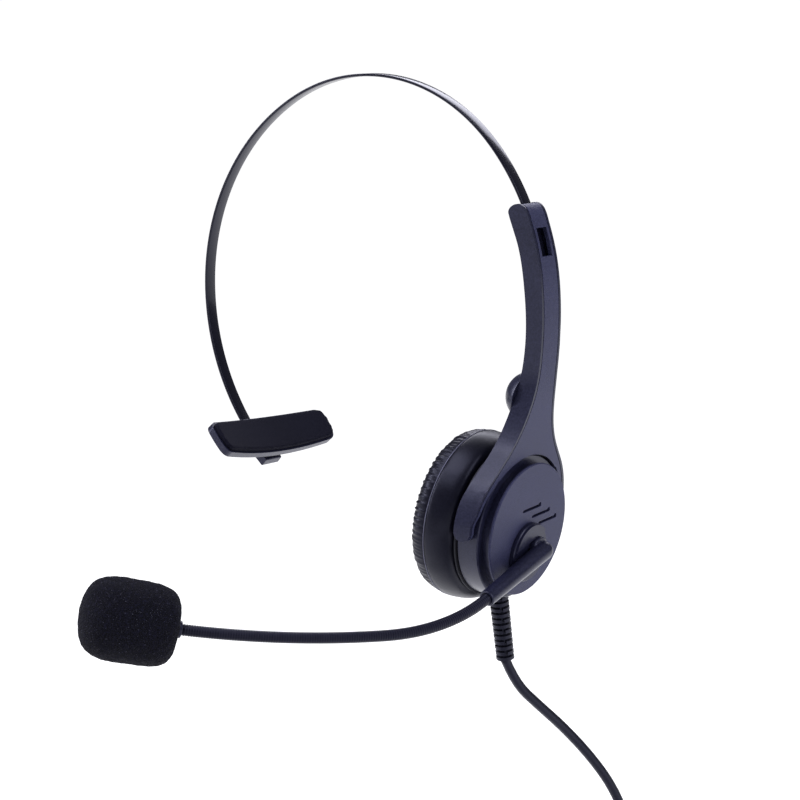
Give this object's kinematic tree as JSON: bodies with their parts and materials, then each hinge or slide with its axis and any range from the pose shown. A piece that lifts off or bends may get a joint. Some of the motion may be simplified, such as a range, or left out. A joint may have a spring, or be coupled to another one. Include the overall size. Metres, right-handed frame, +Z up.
{
  "type": "headset",
  "caption": "Single-ear office telephone headset with steel headband, temple pad, sliding yoke arm, leatherette cushion, turning boom microphone and cord",
  "frame": {"origin": "between the wearer's ears, level with the pivots of the ear cup, at the mount named head", "axes": "+X towards the ear cup, -Y where the wearer looks, +Z up"},
  "size_m": [0.1603, 0.2172, 0.348],
  "materials": {
    "strip_steel": "gloss black coated spring steel",
    "arm_plastic": "satin charcoal moulding",
    "cover_plastic": "fine textured blue grey",
    "cup_plastic": "satin charcoal moulding",
    "inner_plastic": "plain black moulding",
    "bare_steel": "bright zinc plated",
    "neck_coating": "black coated flexible neck",
    "leatherette": "smooth black leatherette",
    "pad_cloth": "matte black cloth over foam",
    "open_foam": "open cell black foam",
    "cord_rubber": "smooth black rubber",
    "board_laminate": "green printed board",
    "clear_plug": "clear moulding",
    "gold_contacts": "gold plated"
  },
  "bodies": {
    "band": {"headband_strip_cup_side": "strip_steel", "strip_end_shoe": "inner_plastic"},
    "pad_side": {"headband_strip_pad_side": "strip_steel", "temple_clip": "arm_plastic", "temple_pins": "bare_steel"},
    "temple": {"temple_tray": "arm_plastic", "temple_pad": "pad_cloth"},
    "arm": {"arm_inner_shell": "arm_plastic", "arm_outer_cover": "cover_plastic", "friction_spring": "bare_steel", "arm_dome_cap": "arm_plastic", "arm_screw": "bare_steel", "fork_pins": "bare_steel"},
    "ear_cup": {"cup_shell": "cup_plastic", "cup_cap": "cover_plastic", "baffle_plate": "inner_plastic", "baffle_screws": "bare_steel", "driver_frame": "inner_plastic", "driver_diaphragm": "inner_plastic", "driver_magnet": "bare_steel", "terminal_board": "board_laminate", "speaker_felt": "pad_cloth", "cushion_ring": "inner_plastic", "ear_cushion": "leatherette", "hub_wave_washer": "bare_steel", "strain_relief": "cord_rubber", "cord_lead": "cord_rubber", "cord_coil": "cord_rubber", "coil_tie": "inner_plastic", "cord_tail": "cord_rubber", "plug_body": "clear_plug", "plug_contacts": "gold_contacts"},
    "boom": {"boom_hub": "cup_plastic", "hub_retainer_screw": "bare_steel", "boom_arm": "cup_plastic", "gooseneck_lower": "neck_coating"},
    "mic": {"gooseneck_upper": "neck_coating", "mic_housing": "cup_plastic", "mic_capsule": "bare_steel", "foam_windscreen": "open_foam"},
    "latch": {"plug_latch": "clear_plug"}
  },
  "joints": [
    {"name": "band_spread", "type": "hinge", "parent": "band", "child": "pad_side", "pos_m": [0.0004, 0, 0.1535], "axis": [0, 1, 0], "range_deg": [-5, 25], "stiffness_Nm_per_rad": 1.3},
    {"name": "temple_tilt", "type": "hinge", "parent": "pad_side", "child": "temple", "pos_m": [-0.05088, 0, 0.0176], "axis": [0, 1, 0], "range_deg": [-6, 6]},
    {"name": "size_adjust", "type": "hinge", "parent": "band", "child": "arm", "pos_m": [-0.01046, 0, 0.07579], "axis": [0, 1, 0], "range_deg": [-7, 14]},
    {"name": "cup_tilt", "type": "hinge", "parent": "arm", "child": "ear_cup", "pos_m": [0.0575, 0, 0], "axis": [0, 1, 0], "range_deg": [-17, 1]},
    {"name": "boom_turn", "type": "hinge", "parent": "ear_cup", "child": "boom", "pos_m": [0.05636, 0.0003, -0.00792], "axis": [0.9898, 0, -0.1426], "range_deg": [-60, 55]},
    {"name": "mic_bend", "type": "hinge", "parent": "boom", "child": "mic", "pos_m": [0.0557, -0.071, -0.0268], "axis": [0, 0, 1], "range_deg": [-20, 20]},
    {"name": "latch_press", "type": "hinge", "parent": "ear_cup", "child": "latch", "pos_m": [0.0758, 0.0527, -0.1928], "axis": [-1, 0, 0], "range_deg": [0, 12], "stiffness_Nm_per_rad": 0.02}
  ]
}
